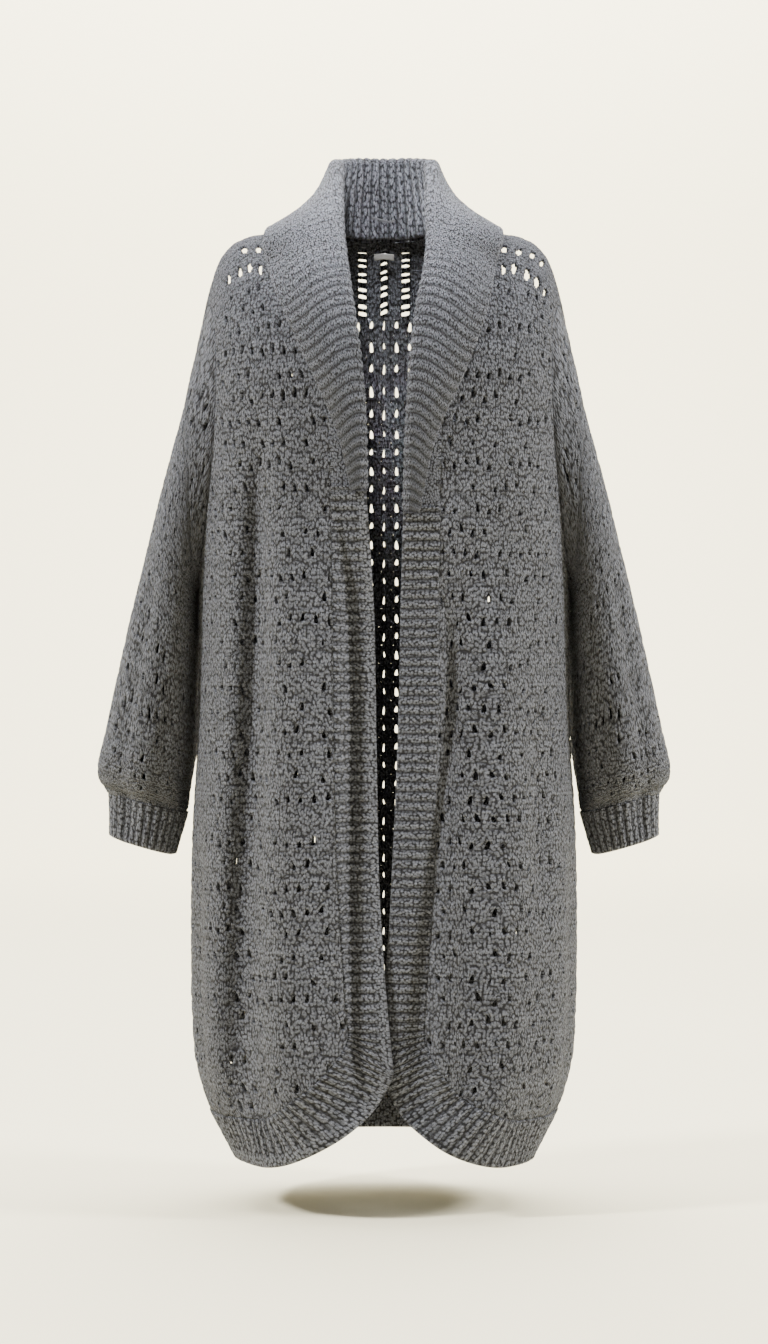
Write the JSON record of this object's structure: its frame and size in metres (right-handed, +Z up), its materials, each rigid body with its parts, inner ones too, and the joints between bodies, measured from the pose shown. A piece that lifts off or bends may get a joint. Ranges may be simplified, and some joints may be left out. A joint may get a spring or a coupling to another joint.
{
  "type": "crochet cardigan",
  "caption": "Long open crochet cardigan with dropped shoulders, full sleeves gathered into ribbed cuffs, a turned shawl collar, ribbed bands and a rounded hem.",
  "frame": {"origin": "base of the neck, midway between the shoulders, where the wearer's shoulders hold the garment up", "axes": "+Z up, the open front faces -Y, +X to the viewer's right"},
  "size_m": [0.6408, 0.3381, 1.1317],
  "materials": {
    "crochet": "matte marled grey crochet",
    "ribbing": "matte marled grey rib",
    "tape": "matte dark grey",
    "label": "woven grey, blank"
  },
  "bodies": {
    "root": {"back": "crochet", "front_left": "crochet", "front_right": "crochet", "sleeve_left_front": "crochet", "sleeve_left_back": "crochet", "sleeve_right_front": "crochet", "sleeve_right_back": "crochet", "cuff_left": "ribbing", "cuff_right": "ribbing", "collar": "ribbing", "band_left": "ribbing", "band_right": "ribbing", "hem_back": "ribbing", "label": "label", "hanger_loop": "tape"}
  },
  "joints": []
}
